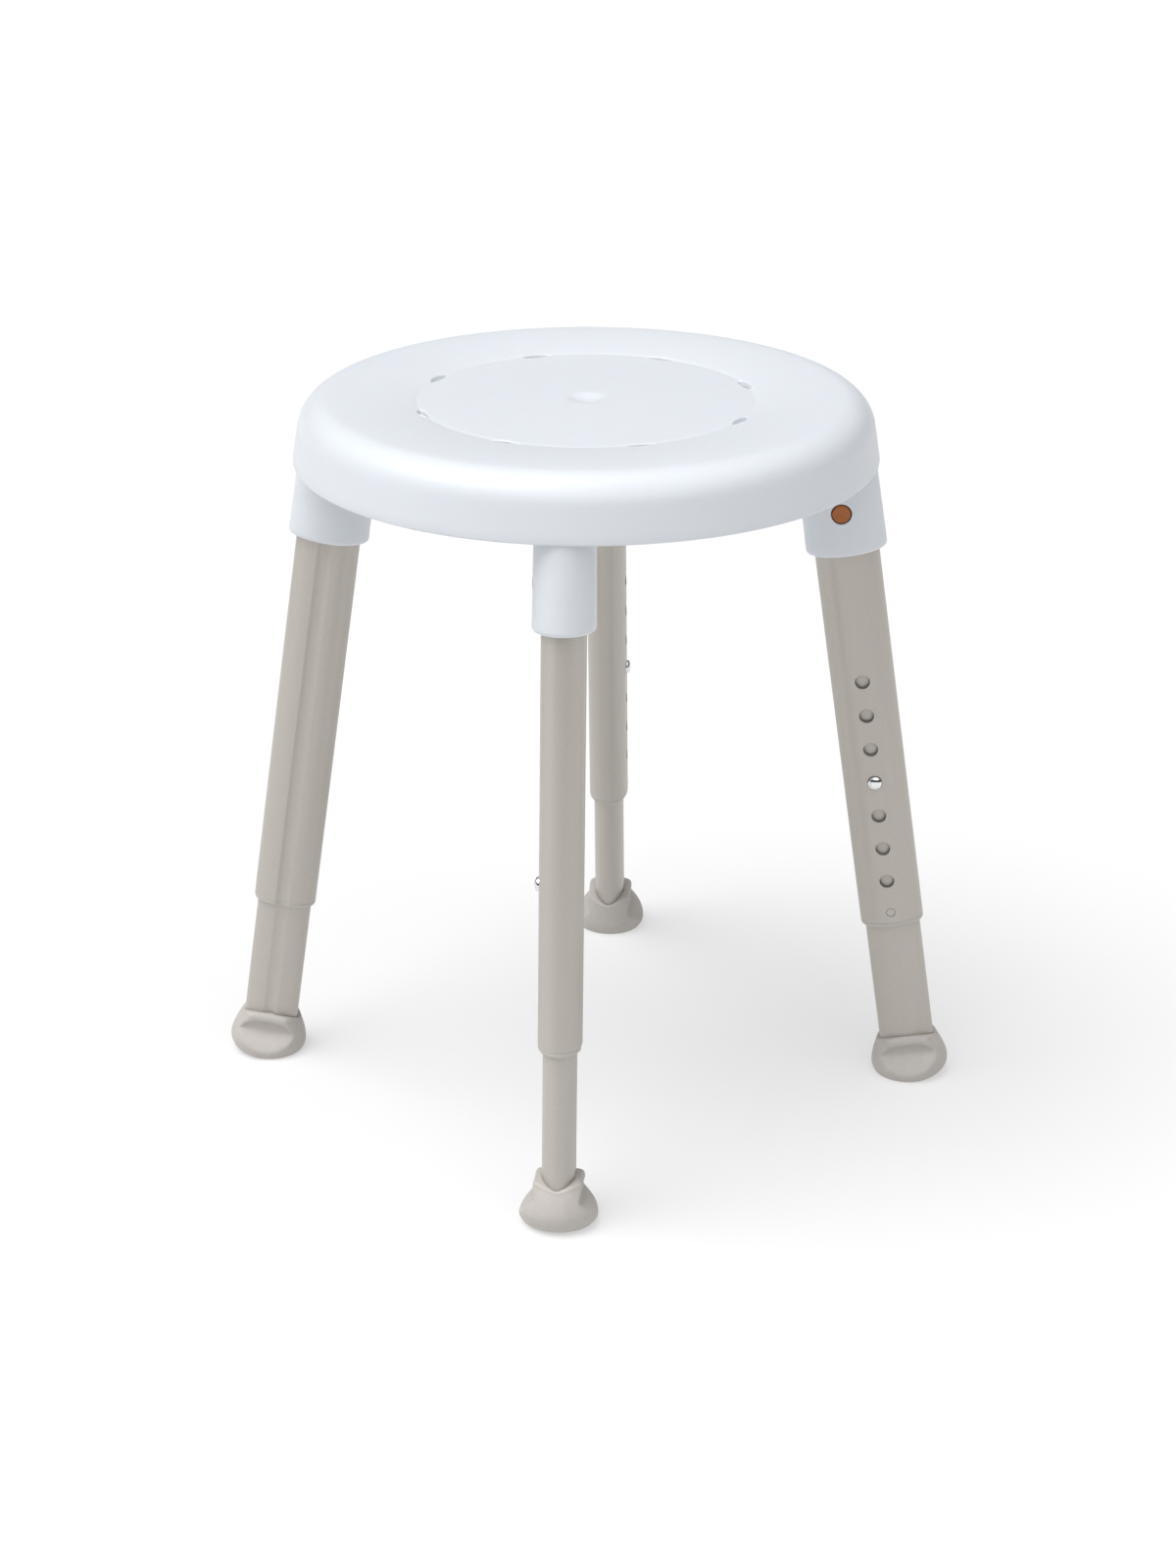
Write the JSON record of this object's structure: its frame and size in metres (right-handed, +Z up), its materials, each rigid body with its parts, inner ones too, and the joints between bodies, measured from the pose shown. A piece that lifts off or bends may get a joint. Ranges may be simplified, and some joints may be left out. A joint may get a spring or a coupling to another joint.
{
  "type": "shower stool",
  "caption": "Round shower stool with a dished drain-slot plastic seat, splayed oval aluminium legs with push-button height adjustment, and flared rubber feet.",
  "frame": {"origin": "on the floor, under the middle of the seat", "axes": "+Z up through the middle of the seat; one leg on each of -Y (front), +X (right), +Y (back) and -X (left)"},
  "size_m": [0.5204, 0.5204, 0.4967],
  "materials": {
    "seat_plastic": "fine satin moulded polypropylene, pale ice blue",
    "tube_aluminium": "satin anodised, warm champagne",
    "bush_plastic": "moulded, matched to the tube",
    "inner_plastic": "moulded grey",
    "foot_rubber": "matte warm grey",
    "button_steel": "polished stainless steel",
    "spring_steel": "bright spring steel",
    "lock_plastic": "moulded orange"
  },
  "bodies": {
    "frame": {"seat": "seat_plastic", "outer_tube_front": "tube_aluminium", "tube_bush_front": "bush_plastic", "lock_plug_front": "inner_plastic", "lock_spring_front": "spring_steel", "outer_tube_right": "tube_aluminium", "tube_bush_right": "bush_plastic", "lock_plug_right": "inner_plastic", "lock_spring_right": "spring_steel", "outer_tube_back": "tube_aluminium", "tube_bush_back": "bush_plastic", "lock_plug_back": "inner_plastic", "lock_spring_back": "spring_steel", "outer_tube_left": "tube_aluminium", "tube_bush_left": "bush_plastic", "lock_plug_left": "inner_plastic", "lock_spring_left": "spring_steel"},
    "leg_front": {"inner_tube_front": "tube_aluminium", "inner_guide_front": "inner_plastic", "foot_front": "foot_rubber", "height_spring_front": "spring_steel"},
    "height_pin_front": {"height_button_front": "button_steel"},
    "lock_pin_front": {"lock_button_front": "lock_plastic"},
    "leg_right": {"inner_tube_right": "tube_aluminium", "inner_guide_right": "inner_plastic", "foot_right": "foot_rubber", "height_spring_right": "spring_steel"},
    "height_pin_right": {"height_button_right": "button_steel"},
    "lock_pin_right": {"lock_button_right": "lock_plastic"},
    "leg_back": {"inner_tube_back": "tube_aluminium", "inner_guide_back": "inner_plastic", "foot_back": "foot_rubber", "height_spring_back": "spring_steel"},
    "height_pin_back": {"height_button_back": "button_steel"},
    "lock_pin_back": {"lock_button_back": "lock_plastic"},
    "leg_left": {"inner_tube_left": "tube_aluminium", "inner_guide_left": "inner_plastic", "foot_left": "foot_rubber", "height_spring_left": "spring_steel"},
    "height_pin_left": {"height_button_left": "button_steel"},
    "lock_pin_left": {"lock_button_left": "lock_plastic"}
  },
  "joints": [
    {"name": "leg_height_front", "type": "slide", "parent": "frame", "child": "leg_front", "axis": [0, -0.145, -0.9894], "range_m": [-0.075, 0.075]},
    {"name": "height_button_press_front", "type": "slide", "parent": "leg_front", "child": "height_pin_front", "axis": [1, 0, 0], "range_m": [0, 0.005], "stiffness_N_per_m": 1500, "springref_m": -0.003, "deforming": ["height_spring_front"]},
    {"name": "lock_button_press_front", "type": "slide", "parent": "frame", "child": "lock_pin_front", "axis": [1, 0, 0], "range_m": [0, 0.0055], "stiffness_N_per_m": 1500, "springref_m": -0.003, "deforming": ["lock_spring_front"]},
    {"name": "leg_height_right", "type": "slide", "parent": "frame", "child": "leg_right", "axis": [0.145, 0, -0.9894], "range_m": [-0.075, 0.075]},
    {"name": "height_button_press_right", "type": "slide", "parent": "leg_right", "child": "height_pin_right", "axis": [0, 1, 0], "range_m": [0, 0.005], "stiffness_N_per_m": 1500, "springref_m": -0.003, "deforming": ["height_spring_right"]},
    {"name": "lock_button_press_right", "type": "slide", "parent": "frame", "child": "lock_pin_right", "axis": [0, 1, 0], "range_m": [0, 0.0055], "stiffness_N_per_m": 1500, "springref_m": -0.003, "deforming": ["lock_spring_right"]},
    {"name": "leg_height_back", "type": "slide", "parent": "frame", "child": "leg_back", "axis": [0, 0.145, -0.9894], "range_m": [-0.075, 0.075]},
    {"name": "height_button_press_back", "type": "slide", "parent": "leg_back", "child": "height_pin_back", "axis": [-1, 0, 0], "range_m": [0, 0.005], "stiffness_N_per_m": 1500, "springref_m": -0.003, "deforming": ["height_spring_back"]},
    {"name": "lock_button_press_back", "type": "slide", "parent": "frame", "child": "lock_pin_back", "axis": [-1, 0, 0], "range_m": [0, 0.0055], "stiffness_N_per_m": 1500, "springref_m": -0.003, "deforming": ["lock_spring_back"]},
    {"name": "leg_height_left", "type": "slide", "parent": "frame", "child": "leg_left", "axis": [-0.145, 0, -0.9894], "range_m": [-0.075, 0.075]},
    {"name": "height_button_press_left", "type": "slide", "parent": "leg_left", "child": "height_pin_left", "axis": [0, -1, 0], "range_m": [0, 0.005], "stiffness_N_per_m": 1500, "springref_m": -0.003, "deforming": ["height_spring_left"]},
    {"name": "lock_button_press_left", "type": "slide", "parent": "frame", "child": "lock_pin_left", "axis": [0, -1, 0], "range_m": [0, 0.0055], "stiffness_N_per_m": 1500, "springref_m": -0.003, "deforming": ["lock_spring_left"]}
  ]
}
